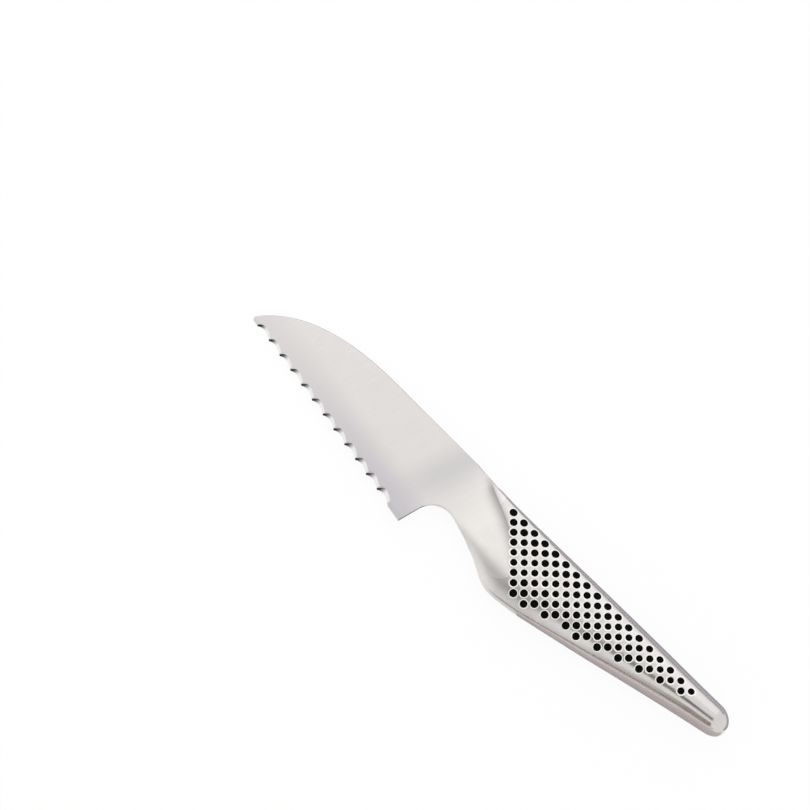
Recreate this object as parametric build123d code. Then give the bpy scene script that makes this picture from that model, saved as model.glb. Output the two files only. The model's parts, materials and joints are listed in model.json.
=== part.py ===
from build123d import *
import os
from math import ceil, cos, pi, radians, sin, tan

os.makedirs("parts", exist_ok=True)

# All sizes are in millimetres.
# Knife frame: the origin is the heel corner of the cutting edge, X runs along the edge from the
# heel towards the butt, Y runs up the blade to the spine, and Z points out of the left face.
# The middle plane of blade and handle is Z = 0.

# Blade
blade_length = 80.0          # tip to heel
edge_level = -0.25           # the edge line, a little under the heel's corner
spine_height = 31.8          # edge to spine over the heel
spine_rise = 0.165           # slope of the straight stretch of the spine
spine_straight = 36.0        # how far the straight stretch runs from the heel towards the tip
nose_points = [(-48.7, 23.15), (-63.8, 17.2), (-73.8, 9.75)]
tip_height = 1.4             # the tip is rounded under this height
tip_length = 1.5             # and over this length of the edge
edge_half = 0.40             # half thickness at the edge line under the heel
thicker_up = 0.0125          # half thickness gained for each millimetre up the blade
thicker_back = 0.0025        # half thickness gained for each millimetre towards the handle
blade_end = 3.0              # where the blade is welded to the neck
tang_length = 6.0            # stub that reaches into the neck
tang_low, tang_high = 19.0, 28.0
tang_half = 0.45

# Serrations, ground into the left face only
scallop_count = 12
scallop_pitch = 5.87
first_scallop = -9.6         # middle of the scallop nearest the heel
scallop_rise = 1.05          # top of a scallop over the X axis
scallop_radius = 9.6
wheel_width = 30.0
bevel_angle = 26.0
bevel_block = (90.0, 12.0, 8.0)   # the block that grinds the bevel, longer than the edge

# Choil: the quarter circle behind the heel
choil_radius = 8.0
choil_x, choil_y = 8.4, 7.0
neck_belly = [(8.4, 15.0), (12.9, 14.5), (18.1, 13.75), (22.5, 12.4)]
belly_fall = -0.42           # slope of the belly where the neck meets the handle
neck_beyond = [(32.0, 8.0), (32.0, 40.0), (9.0, 32.3), (4.0, 32.0)]   # closes the outline
blank_half = 7.0             # half thickness of the blank before grinding

# Handle: stations along its own centre line, measured from the foot of the heel
handle_angle = 16.43
centre_offset = 12.1         # how far the centre line passes over the heel corner
weld_station = 22.0          # joint between neck and handle
weld_width = 0.4
cap_station = 116.5          # the rounded butt starts here
handle_end = 122.3
wall = 1.3
seam_half = 0.25
spigot_end = 27.0
outer_chords = 6             # chords of each shoulder of a cross section, outside
inner_chords = 2             # the same for the cavity, which is rough inside
# station, reach to the spine side, reach to the finger side, half thickness,
# squareness of the spine shoulder and of the finger shoulder
stations = [
    (4.0, 19.9, 2.4, 1.45, 0.92, 0.90),
    (14.0, 17.6, 2.2, 1.95, 0.92, 0.85),
    (24.0, 15.7, 5.8, 2.85, 0.90, 0.72),
    (34.0, 14.4, 12.1, 3.65, 0.86, 0.64),
    (44.0, 13.3, 12.95, 4.35, 0.83, 0.62),
    (54.0, 12.25, 12.1, 4.85, 0.80, 0.60),
    (64.0, 11.2, 11.0, 5.30, 0.77, 0.60),
    (74.0, 10.1, 9.85, 5.60, 0.74, 0.60),
    (84.0, 9.0, 8.55, 5.80, 0.71, 0.60),
    (94.0, 7.85, 7.3, 5.90, 0.68, 0.60),
    (104.0, 6.65, 6.1, 5.85, 0.65, 0.60),
    (cap_station, 5.3, 4.8, 5.30, 0.62, 0.62),
]
cavity_stations = (14.0, 24.0, 44.0, 74.0, 104.0, cap_station)
cap_shares = (0.0, 0.4, 0.7, 0.88, 0.97)

# Scoop of the neck: rows across it, each with the height up the blade, the place of the crease,
# the height of the surface there and the slope of the surface there
scoop_start = -6.0
scoop_chords = 5
start_pull, crease_pull = 0.45, 0.3   # how far the hollow keeps the slope of its two ends
scoop_clear = 45.0           # how far the cutter reaches past the crease and over the neck
scoop_rows = [
    (36.0, 3.5, 1.35, 30.0),
    (31.3, 8.4, 1.95, 22.0),
    (28.0, 18.5, 2.75, 13.0),
    (24.7, 25.8, 3.30, 9.0),
    (19.0, 34.0, 3.80, 7.0),
    (12.0, 42.0, 3.90, 6.0),
    (-3.0, 48.0, 3.90, 5.0),
]

# Dimples: a square lattice on each side, filled with black enamel
dimple_pitch = 3.34
dimple_turn = -36.6          # direction of a row of the lattice
dimple_x, dimple_y = 18.7, 31.2
dimple_rows = 18
full_rows = 8                # rows before the border turns in towards the butt
border_slope, border_start = 1.85, 1.45   # columns left out for each row after these
dimple_radius = 1.2
dimple_point = 118.0         # angle of the drill point
enamel_sunk = 0.06
drill_over = 0.3             # how far over the surface a drill starts
dimple_sides = 8

# Rest attitude: turns about Y and X that lay the knife on its right side
rest_pitch = -2.351
rest_roll = -1.205

axis_x, axis_y = cos(radians(handle_angle)), sin(radians(handle_angle))


def handle_point(station, across=0.0):
    """Place in the middle plane, from the station and the distance to the spine side."""
    offset = centre_offset + across
    return station * axis_x - offset * axis_y, station * axis_y + offset * axis_x


def half_thickness(x, y):
    """Half thickness of the blade, which tapers to the edge and to the tip."""
    return edge_half + thicker_up * y + thicker_back * x


def section_plane(station):
    return Plane(
        origin=(*handle_point(station), 0), x_dir=(-axis_y, axis_x, 0), z_dir=(axis_x, axis_y, 0)
    )


def bezier_points(start, start_pull, end_pull, end, chords):
    """Points of a cubic curve, evenly spaced in its parameter, both ends included."""
    points = []
    for number in range(chords + 1):
        far = number / chords
        near = 1 - far
        weights = (near**3, 3 * near**2 * far, 3 * near * far**2, far**3)
        corners = (start, start_pull, end_pull, end)
        points.append(
            tuple(sum(w * corner[k] for w, corner in zip(weights, corners)) for k in range(2))
        )
    return points


def half_section(station, spine_reach, finger_reach, height, spine_square, finger_square, chords):
    """The left half of the handle's cross section: two shoulders that stand on the seam."""
    rise = height - seam_half
    finger_side = bezier_points(
        (-finger_reach, seam_half),
        (-finger_reach, seam_half + finger_square * rise),
        (-finger_reach * finger_square, height),
        (0, height),
        chords,
    )
    spine_side = bezier_points(
        (0, height),
        (spine_reach * spine_square, height),
        (spine_reach, seam_half + spine_square * rise),
        (spine_reach, seam_half),
        chords,
    )
    outline = Wire.make_polygon([(*point, 0) for point in finger_side + spine_side[1:]])
    return section_plane(station) * Face(outline)


def cap_sections(inset, chords):
    """Sections of the rounded butt, which draw in to a small end face."""
    last = stations[-1]
    length = handle_end - cap_station - inset
    taper = (stations[-2][1] - last[1]) / (last[0] - stations[-2][0])
    sections = []
    for share in cap_shares:
        along = share * length
        round_in = (1 - share**2) ** 0.5
        square_in = (1 - share**3) ** (1 / 3)
        sections.append(
            half_section(
                cap_station + along,
                (last[1] - inset - taper * along) * round_in,
                (last[2] - inset - taper * along) * square_in,
                (last[3] - inset) * round_in,
                last[4],
                last[5],
                chords,
            )
        )
    return sections


def left_form():
    """The left half of the handle's form."""
    body = loft([half_section(*row, outer_chords) for row in stations])
    return body + loft(cap_sections(0, outer_chords))


def left_cavity_form():
    """The left half of the hollow inside, one wall in from the form."""
    rows = [row for row in stations if row[0] in cavity_stations]
    sections = [
        half_section(row[0], *(size - wall for size in row[1:4]), *row[4:], inner_chords)
        for row in rows
    ]
    return loft(sections, ruled=True) + loft(cap_sections(wall, inner_chords)[::2], ruled=True)


def seam_slab(left):
    """The strip between the two halves, as wide as the left half is where it meets the seam."""
    feet = [face for face in left.faces() if abs(face.center().Z - seam_half) < 0.001]
    slab = [extrude(Face(foot.outer_wire()), 2 * seam_half, dir=(0, 0, -1)) for foot in feet]
    return slab[0] if len(slab) == 1 else slab[0] + slab[1:]


def half_space(origin, outward, size=260.0):
    """A block that fills the side of a plane to which outward points."""
    plane = Plane(origin=origin, z_dir=outward)
    return plane * Pos(0, 0, size / 2) * Box(size, size, size)


def blade_outline():
    """Blade and neck seen from the side, closed beyond the joint with the handle."""
    spine_bend = (-spine_straight, spine_height - spine_straight * spine_rise)
    tip_top = (-blade_length + 0.25, tip_height)
    tip_foot = (-blade_length + tip_length, edge_level)
    tip_front = (-blade_length + 0.45, 0.3)
    edge = Line(tip_foot, (0, edge_level))
    heel = Line((0, edge_level), (choil_x - choil_radius, choil_y))
    choil = CenterArc((choil_x, choil_y), choil_radius, 180, -90)
    belly = Spline(*neck_belly, tangents=((1, 0), (1, belly_fall)))
    beyond = Polyline(neck_belly[-1], *neck_beyond, (0, spine_height))
    spine = Line((0, spine_height), spine_bend)
    nose = Spline(spine_bend, *nose_points, tip_top, tangents=((-1, -spine_rise), (-0.5, -1)))
    tip = ThreePointArc(tip_top, tip_front, tip_foot)
    return make_face(edge + heel + choil + belly + beyond + spine + nose + tip)


def scoop_cutter(chords):
    """What the grinding of the neck takes off the left side, with the blade's face before it."""
    rows = []
    for height, crease_x, crease_z, slope in scoop_rows:
        start = (scoop_start, half_thickness(scoop_start, height))
        length = crease_x - scoop_start
        early, late = start_pull * length, crease_pull * length
        lean = (cos(radians(slope)), sin(radians(slope)))
        far = (crease_x + scoop_clear * lean[0], crease_z + scoop_clear * lean[1])
        hollow = bezier_points(
            start,
            (start[0] + early, start[1] + early * thicker_back),
            (crease_x - late * lean[0], crease_z - late * lean[1]),
            (crease_x, crease_z),
            chords,
        )
        corners = [*hollow, far, (far[0], scoop_clear), (scoop_start, scoop_clear)]
        plane = Plane(origin=(0, height, 0), x_dir=(1, 0, 0), z_dir=(0, -1, 0))
        rows.append(plane * Face(Wire.make_polygon([(*corner, 0) for corner in corners])))
    return loft(rows, ruled=True)


def face_cutter():
    """What lies outside the blade's flat left face."""
    outward = (-thicker_back, -thicker_up, 1)
    beyond = half_space((0, 0, edge_half), outward)
    return beyond & half_space((scoop_start, 0, 0), (-1, 0, 0))


def scallops():
    """Grinding wheels of the serrations."""
    along = (0, cos(radians(bevel_angle)), sin(radians(bevel_angle)))
    away = Vector(0, -sin(radians(bevel_angle)), cos(radians(bevel_angle)))
    wheels = []
    for number in range(scallop_count):
        place = first_scallop - number * scallop_pitch
        lowest = Vector(place, scallop_rise, -half_thickness(place, scallop_rise))
        centre = lowest + away * scallop_radius
        wheels.append(Plane(origin=centre, z_dir=along) * Cylinder(scallop_radius, wheel_width))
    return wheels


def bevel_cutter():
    """The plain bevel of the edge."""
    away = (0, -sin(radians(bevel_angle)), cos(radians(bevel_angle)))
    middle = -blade_length / 2
    foot = (middle, edge_level, -half_thickness(middle, edge_level))
    plane = Plane(origin=foot, x_dir=(1, 0, 0), z_dir=away)
    return plane * Pos(0, 0, bevel_block[2] / 2) * Box(*bevel_block)


def dimple_places():
    """Lattice points in the middle plane; the rows get shorter towards the butt."""
    step = Vector(dimple_pitch, 0).rotate(Axis.Z, dimple_turn)
    across = Vector(0, dimple_pitch).rotate(Axis.Z, dimple_turn)
    places = []
    for row in range(dimple_rows):
        first = max(0, ceil(border_slope * (row - full_rows) - border_start))
        for column in range(first, row + 1):
            places.append(Vector(dimple_x, dimple_y) + step * row + across * column)
    return places


def drill_point(plane, radius, depth):
    """A faceted cone that stands point down under a plane."""
    turns = [2 * pi * side / dimple_sides for side in range(dimple_sides)]
    rim = [plane.from_local_coords((radius * cos(turn), radius * sin(turn), 0)) for turn in turns]
    point = plane.from_local_coords((0, 0, -depth))
    sides = [Face(Wire.make_polygon([rim[n - 1], rim[n], point])) for n in range(dimple_sides)]
    return Solid(Shell([*sides, Face(Wire.make_polygon(rim))]))


def past(station):
    """Everything on the butt side of a cross section."""
    return half_space((*handle_point(station), 0), (axis_x, axis_y, 0))


def both_halves(left):
    """A whole piece from its left half."""
    return left + seam_slab(left) + mirror(left, Plane.XY)


def dimple_tools(left):
    """The drills of one side's dimples, and the enamel that fills them to just under the rim."""
    steepness = tan(radians(dimple_point / 2))
    cut_radius = dimple_radius + drill_over * steepness
    fill_radius = dimple_radius - enamel_sunk * steepness
    drills, fills = [], []
    for place in dimple_places():
        upwards = Axis((place.X, place.Y, 0), (0, 0, 1))
        point, outward = left.find_intersection_points(upwards)[-1]
        surface = Plane(origin=point, x_dir=(axis_x, axis_y, 0), z_dir=outward)
        drills.append(drill_point(surface.offset(drill_over), cut_radius, cut_radius / steepness))
        fills.append(drill_point(surface.offset(-enamel_sunk), fill_radius, fill_radius / steepness))
    return drills, Compound(children=fills)


# Blade and neck are ground from one blank
scoop = scoop_cutter(scoop_chords)
blank = extrude(blade_outline(), blank_half, both=True)
left_grinding = [face_cutter(), scoop]
ground = blank - left_grinding - [mirror(cutter, Plane.XY) for cutter in left_grinding]
tang_middle = (blade_end + tang_length / 2, (tang_low + tang_high) / 2, 0)
tang = Pos(tang_middle) * Box(tang_length, tang_high - tang_low, 2 * tang_half)
past_blade = half_space((blade_end, 0, 0), (1, 0, 0))
past_neck_weld = half_space((blade_end + weld_width, 0, 0), (1, 0, 0))
blade = ground - past_blade - bevel_cutter() - scallops() + tang
neck_weld = (ground & past_blade) - past_neck_weld - tang

# Handle, hollow behind the neck
left_outer = left_form() - scoop
left_cavity = left_cavity_form() - Pos(0, 0, -wall) * scoop_cutter(inner_chords)
spigot = both_halves((left_cavity & past(weld_station)) - past(spigot_end))
neck = both_halves((left_outer & blank & past_neck_weld) - past(weld_station)) + spigot - tang
weld_ring = (left_outer & past(weld_station)) - past(weld_station + weld_width)
handle_weld = both_halves(weld_ring) - spigot
left_side = left_outer & past(weld_station + weld_width)
drills, enamel_left = dimple_tools(left_side)
shell_left = left_side - left_cavity - drills
seam_weld = seam_slab(left_side) - seam_slab(left_cavity)
spine_side = half_space((*handle_point(0), 0), (-axis_y, axis_x, 0))
sand = both_halves(left_cavity & past(spigot_end))

pieces = {
    "blade": blade,
    "neck": neck,
    "neck_weld": neck_weld,
    "handle_weld": handle_weld,
    "handle_shell_left": shell_left,
    "handle_shell_right": mirror(shell_left, Plane.XY),
    "spine_seam_weld": seam_weld & spine_side,
    "belly_seam_weld": seam_weld - spine_side,
    "sand_ballast": sand,
    "dimple_enamel_left": enamel_left,
    "dimple_enamel_right": mirror(enamel_left, Plane.XY),
}

# At rest the knife lies on its right side, on the tip of the blade and the swell of the handle
laid = {name: Rot(0, rest_pitch, 0) * Rot(rest_roll, 0, 0) * piece for name, piece in pieces.items()}
boxes = [piece.bounding_box() for piece in laid.values()]
low = [min(tuple(box.min)[k] for box in boxes) for k in range(3)]
high = [max(tuple(box.max)[k] for box in boxes) for k in range(3)]
to_origin = Pos(-(low[0] + high[0]) / 2, -(low[1] + high[1]) / 2, -low[2])
for name, piece in laid.items():
    export_step(to_origin * piece, f"parts/{name}.step")
print("moved by", to_origin.position)
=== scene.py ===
import bpy
import json
import math
import numpy as np
from mathutils import Matrix, Vector

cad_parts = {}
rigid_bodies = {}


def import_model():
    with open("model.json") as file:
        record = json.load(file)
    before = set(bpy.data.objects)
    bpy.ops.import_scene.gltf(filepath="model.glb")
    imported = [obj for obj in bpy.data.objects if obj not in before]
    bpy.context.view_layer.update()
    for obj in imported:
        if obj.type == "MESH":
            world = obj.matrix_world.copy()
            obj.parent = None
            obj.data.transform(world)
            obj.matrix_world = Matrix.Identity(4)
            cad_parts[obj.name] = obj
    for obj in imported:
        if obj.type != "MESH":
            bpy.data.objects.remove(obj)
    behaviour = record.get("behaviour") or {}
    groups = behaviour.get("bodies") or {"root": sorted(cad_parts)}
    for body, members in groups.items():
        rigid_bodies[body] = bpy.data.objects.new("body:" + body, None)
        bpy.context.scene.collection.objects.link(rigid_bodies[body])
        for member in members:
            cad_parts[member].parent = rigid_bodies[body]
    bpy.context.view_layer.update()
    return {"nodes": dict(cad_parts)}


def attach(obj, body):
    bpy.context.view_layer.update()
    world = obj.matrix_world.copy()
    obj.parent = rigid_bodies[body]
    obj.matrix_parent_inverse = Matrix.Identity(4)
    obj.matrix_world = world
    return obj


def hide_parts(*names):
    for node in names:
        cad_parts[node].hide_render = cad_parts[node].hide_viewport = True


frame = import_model()
nodes = frame["nodes"]
print("frame loaded:", sorted(nodes))

# Sizes are in millimetres and angles in degrees, in the knife's own frame: the heel corner of
# the edge at the origin, X towards the butt, Y towards the spine, Z out of the left face.
# layDown turns places into the row's frame, in metres, with the knife on its right side.
restPose = {"pitch": -2.351, "roll": -1.205, "shift": (-17.2303, -24.7379, 3.57322)}
turn = np.array(
    Matrix.Rotation(math.radians(restPose["pitch"]), 3, "Y")
    @ Matrix.Rotation(math.radians(restPose["roll"]), 3, "X")
)
shift = np.array(restPose["shift"])


def layDown(points):
    return (np.asarray(points, float) @ turn.T + shift) / 1000


def hermite(u, first, last, firstSlope, lastSlope):
    # a cubic between two values, with a slope at both ends
    return (
        (2 * u**3 - 3 * u**2 + 1) * first + (u**3 - 2 * u**2 + u) * firstSlope
        + (3 * u**2 - 2 * u**3) * last + (u**3 - u**2) * lastSlope
    )


def smoothAt(xs, ys, at):
    # a cubic curve through the given values, with slopes from the neighbours
    xs = np.asarray(xs, float)
    ys = np.asarray(ys, float)
    step = np.diff(xs)
    secant = np.diff(ys) / step
    slope = np.empty_like(ys)
    slope[1:-1] = (secant[:-1] * step[1:] + secant[1:] * step[:-1]) / (step[:-1] + step[1:])
    slope[0] = 1.5 * secant[0] - 0.5 * slope[1]
    slope[-1] = 1.5 * secant[-1] - 0.5 * slope[-2]
    at = np.asarray(at, float)
    k = np.clip(np.searchsorted(xs, at) - 1, 0, len(xs) - 2)
    u = (at - xs[k]) / step[k]
    inside = hermite(u, ys[k], ys[k + 1], step[k] * slope[k], step[k] * slope[k + 1])
    before = ys[0] + (at - xs[0]) * slope[0]
    after = ys[-1] + (at - xs[-1]) * slope[-1]
    return np.where(at < xs[0], before, np.where(at > xs[-1], after, inside))


def cubic(a, b, c, d, t):
    # a place on the curve that four points draw
    m = 1 - t
    return m**3 * a + 3 * m * m * t * b + 3 * m * t * t * c + t**3 * d


def smoothStep(share):
    return share * share * (3 - 2 * share)


def halved(near, far, isNear, rounds=34):
    # halves the spans again and again, down to the place where isNear stops being true
    for _ in range(rounds):
        middle = (near + far) / 2
        stillNear = isNear(middle)
        near = np.where(stillNear, middle, near)
        far = np.where(stillNear, far, middle)
    return (near + far) / 2


# The form of the handle. A station runs along its centre line, which passes over the heel at
# centreOffset. Each of the stations has its place, reach to the spine side, reach to the
# finger side, half thickness and the squareness of its two shoulders.
handle = {
    "angle": 16.43,
    "centreOffset": 12.1,
    "weldStation": 22.0,
    "weldWidth": 0.4,
    "capStation": 116.5,
    "end": 122.3,
    "lastShare": 0.97,
    "seamHalf": 0.25,
    "inset": 0.02,
    "thin": 0.992,
    "stations": [
        (4.0, 19.9, 2.4, 1.45, 0.92, 0.90),
        (14.0, 17.6, 2.2, 1.95, 0.92, 0.85),
        (24.0, 15.7, 5.8, 2.85, 0.90, 0.72),
        (34.0, 14.4, 12.1, 3.65, 0.86, 0.64),
        (44.0, 13.3, 12.95, 4.35, 0.83, 0.62),
        (54.0, 12.25, 12.1, 4.85, 0.80, 0.60),
        (64.0, 11.2, 11.0, 5.30, 0.77, 0.60),
        (74.0, 10.1, 9.85, 5.60, 0.74, 0.60),
        (84.0, 9.0, 8.55, 5.80, 0.71, 0.60),
        (94.0, 7.85, 7.3, 5.90, 0.68, 0.60),
        (104.0, 6.65, 6.1, 5.85, 0.65, 0.60),
        (116.5, 5.3, 4.8, 5.30, 0.62, 0.62),
    ],
}
axisX = math.cos(math.radians(handle["angle"]))
axisY = math.sin(math.radians(handle["angle"]))


def stationOf(x, y):
    return x * axisX + y * axisY, y * axisX - x * axisY - handle["centreOffset"]


def planPoint(station, across):
    offset = handle["centreOffset"] + across
    return station * axisX - offset * axisY, station * axisY + offset * axisX


def sectionSizes(station):
    # the five sizes of the cross section at a station, with the round of the butt
    table = np.array(handle["stations"])
    last = table[-1]
    taper = (table[-2, 1] - last[1]) / (last[0] - table[-2, 0])
    along = np.maximum(station - handle["capStation"], 0)
    share = along / (handle["end"] - handle["capStation"])
    roundIn = np.sqrt(np.maximum(1 - share**2, 0))
    squareIn = np.cbrt(np.maximum(1 - share**3, 0))
    body = [smoothAt(table[:, 0], table[:, k], np.minimum(station, last[0])) for k in range(1, 6)]
    inCap = station > handle["capStation"]
    spine = np.where(inCap, (last[1] - taper * along) * roundIn, body[0])
    finger = np.where(inCap, (last[2] - taper * along) * squareIn, body[1])
    height = np.where(inCap, last[3] * roundIn, body[2]) * handle["thin"]
    return spine - handle["inset"], finger - handle["inset"], height, body[3], body[4]


def formHeight(x, y):
    # height of the handle's form over the middle plane
    station, across = stationOf(np.asarray(x, float), np.asarray(y, float))
    spine, finger, height, spineSquare, fingerSquare = sectionSizes(station)
    onSpine = across > 0
    reach = np.where(onSpine, spine, finger)
    square = np.where(onSpine, spineSquare, fingerSquare)
    low = handle["seamHalf"]
    wanted = np.minimum(np.abs(across), reach)
    share = halved(
        np.zeros_like(wanted), np.ones_like(wanted),
        lambda t: cubic(0, reach * square, reach, reach, t) < wanted,
    )
    z = cubic(height, height, low + square * (height - low), low, share)
    return np.where(np.abs(across) < reach, z, low)


# The scoop of the neck, by rows up the blade: height up the blade, place of the crease, height
# of the surface there and its slope in degrees. The pulls say how far the hollow keeps the
# slope of its two ends. Before the scoop lies the flat face of the blade.
scoop = {
    "start": -6.0,
    "startPull": 0.45,
    "creasePull": 0.3,
    "edgeHalf": 0.40,
    "thickerUp": 0.0125,
    "thickerBack": 0.0025,
    "rows": [
        (-3.0, 48.0, 3.90, 5.0),
        (12.0, 42.0, 3.90, 6.0),
        (19.0, 34.0, 3.80, 7.0),
        (24.7, 25.8, 3.30, 9.0),
        (28.0, 18.5, 2.75, 13.0),
        (31.3, 8.4, 1.95, 22.0),
        (36.0, 3.5, 1.35, 30.0),
    ],
}


def faceHeight(x, y):
    return scoop["edgeHalf"] + scoop["thickerUp"] * y + scoop["thickerBack"] * x


def scoopHeight(x, y):
    x = np.asarray(x, float)
    y = np.asarray(y, float)
    rows = np.array(scoop["rows"])
    creaseX, creaseZ, slope = (smoothAt(rows[:, 0], rows[:, k], y) for k in (1, 2, 3))
    slope = np.radians(slope)
    startX = scoop["start"]
    startZ = faceHeight(startX, y)
    pull = scoop["startPull"] * (creaseX - startX)
    reach = scoop["creasePull"] * (creaseX - startX)
    backX = creaseX - reach * np.cos(slope)
    backZ = creaseZ - reach * np.sin(slope)
    share = halved(
        np.zeros_like(x + y), np.ones_like(x + y),
        lambda t: cubic(startX, startX + pull, backX, creaseX, t) < x,
    )
    hollow = cubic(startZ, startZ + pull * scoop["thickerBack"], backZ, creaseZ, share)
    beyond = creaseZ + (x - creaseX) * np.tan(slope)
    return np.where(x < startX, faceHeight(x, y), np.where(x > creaseX, beyond, hollow))


# Outline of the neck between blade and handle
neck = {
    "bladeEnd": 3.0,
    "choilRadius": 8.0,
    "choilCentre": (8.4, 7.0),
    "belly": [(8.4, 15.0), (12.9, 14.5), (18.1, 13.75), (22.5, 12.4), (32.0, 8.0)],
    "top": [(0.0, 31.8), (4.0, 32.0), (9.0, 32.3), (32.0, 40.0)],
    "pivotHeight": 22.0,
    "rings": 90,
    "weldRings": 3,
}


def bellyHeight(x):
    centreX, centreY = neck["choilCentre"]
    radius = neck["choilRadius"]
    belly = np.array(neck["belly"])
    arc = centreY + np.sqrt(np.maximum(radius**2 - (x - centreX) ** 2, 0))
    return np.where(x < centreX, arc, smoothAt(belly[:, 0], belly[:, 1], x))


def insideForm(x, y):
    station, across = stationOf(x, y)
    spine, finger, *_ = sectionSizes(station)
    return (across < spine) & (across > -finger)


def insideNeck(x, y):
    top = np.array(neck["top"])
    inBlank = (y > bellyHeight(x)) & (y < np.interp(x, top[:, 0], top[:, 1]))
    return inBlank & insideForm(x, y)


def edgeAlong(x, y, dx, dy, furthest=40.0):
    # how far from (x, y) the neck's outline lies in the direction (dx, dy)
    return halved(
        np.zeros_like(x), np.full_like(x, furthest),
        lambda reach: insideNeck(x + dx * reach, y + dy * reach),
    )


# The skin over neck and handle: how fine its rings are, how they pass the scoop, how far the painted
# shade beside the creases reaches, and where the painted highlight on the finger-side ridge ends
skin = {
    "shellPitch": 0.3,
    "capRings": 22,
    "searchPoints": 801,
    "fingerPoints": 44,
    "scoopPoints": 56,
    "spinePoints": 56,
    "scoopLimits": (0.07, 0.95),
    "meetingGap": 0.002,
    "settleRings": 70,
    "edgeRound": 0.22,
    "seamDepth": 0.06,
    "seamSharp": 30.0,
    "sharpAngle": 5.0,
    "spineCrease": 5.5,
    "outsideCrease": 2.6,
    "outsideStrength": 0.6,
    "creaseRings": 45,
    "ridgeEnd": 42.0,
    "ridgeFade": 10.0,
}

# Painted shade: a soft dark band where the scoop runs out towards the belly: station, place across,
# strength, and how far it fades towards the spine and towards the finger side
runoutShadeSharpness = 0.7
runoutShade = [
    (12.0, -1.0, 0.00, 1.2, 1.2),
    (18.0, -2.6, 0.40, 1.4, 1.3),
    (24.0, -4.2, 0.50, 1.5, 1.1),
    (28.0, -5.6, 0.64, 2.0, 1.4),
    (32.0, -7.0, 0.78, 2.4, 1.9),
    (38.0, -8.0, 0.80, 2.4, 3.0),
    (46.0, -8.9, 0.62, 1.8, 2.8),
    (54.0, -9.6, 0.15, 1.6, 2.0),
    (62.0, -10.0, 0.00, 1.5, 1.5),
]


def skinRings():
    # lines across the neck and the handle, from the finger side to the spine side
    share = np.linspace(0, 1, neck["rings"] + 1)
    pivotY = neck["pivotHeight"]
    weldX = (handle["weldStation"] - pivotY * axisY) / axisX
    startX = neck["bladeEnd"] + share * (weldX - neck["bladeEnd"])
    startY = np.full_like(startX, pivotY)
    tilt = np.radians(handle["angle"]) * share
    dirX, dirY = -np.sin(tilt), np.cos(tilt)
    high = edgeAlong(startX, startY, dirX, dirY)
    low = edgeAlong(startX, startY, -dirX, -dirY)
    neckLow = (startX - dirX * low, startY - dirY * low)
    neckHigh = (startX + dirX * high, startY + dirY * high)
    firstStation = handle["weldStation"] + handle["weldWidth"] / 2
    body = np.arange(firstStation, handle["capStation"], skin["shellPitch"])
    capLength = handle["end"] - handle["capStation"]
    capShares = np.sin(np.linspace(0, math.asin(handle["lastShare"]), skin["capRings"]))
    stations = np.concatenate([body, handle["capStation"] + capLength * capShares])
    spine, finger, *_ = sectionSizes(stations)
    shellLow = planPoint(stations, -finger)
    shellHigh = planPoint(stations, spine)
    return [np.concatenate(pair) for pair in zip(neckLow + neckHigh, shellLow + shellHigh)]


def scoopSplit(lines):
    # where the scoop begins and ends on each line, as shares of the line
    shares = np.linspace(0.0, 1.0, skin["searchPoints"])
    begins, ends = [], []
    for ax, ay, bx, by in zip(*lines):
        x = ax + (bx - ax) * shares
        y = ay + (by - ay) * shares
        gap = formHeight(x, y) - scoopHeight(x, y)
        index = np.flatnonzero(gap > 0)
        if len(index) < 2:
            begins.append(np.nan)
            ends.append(np.nan)
            continue
        run = max(np.split(index, np.flatnonzero(np.diff(index) > 1) + 1), key=len)
        first, last = run[0], run[-1]
        begin, end = shares[first], shares[last]
        if first > 0:
            begin -= shares[1] * gap[first] / (gap[first] - gap[first - 1])
        if last < len(shares) - 1:
            end += shares[1] * gap[last] / (gap[last] - gap[last + 1])
        begins.append(begin)
        ends.append(end)
    return np.array(begins), np.array(ends)


def scoopTurns(lines):
    # the same places as shares of a half turn, which crowds the points near both ends of a
    # line. Behind the scoop they spread to even runs
    first, middle, last = skin["fingerPoints"], skin["scoopPoints"], skin["spinePoints"]
    begins, ends = (np.arccos(1 - 2 * shares) / np.pi for shares in scoopSplit(lines))
    lastScooped = np.flatnonzero(~np.isnan(begins))[-1]
    past = np.maximum(np.arange(len(begins)) - lastScooped, 0)
    settled = smoothStep(np.minimum(past / skin["settleRings"], 1))
    meeting = (begins[lastScooped] + ends[lastScooped]) / 2
    low, high = meeting - skin["meetingGap"], meeting + skin["meetingGap"]
    evenLow, evenHigh = np.array([first, first + middle]) / (first + middle + last)
    lowest, highest = skin["scoopLimits"]
    begins = np.where(past > 0, low + (evenLow - low) * settled, np.maximum(begins, lowest))
    ends = np.where(past > 0, high + (evenHigh - high) * settled, np.minimum(ends, highest))
    return begins, ends, lastScooped


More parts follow.
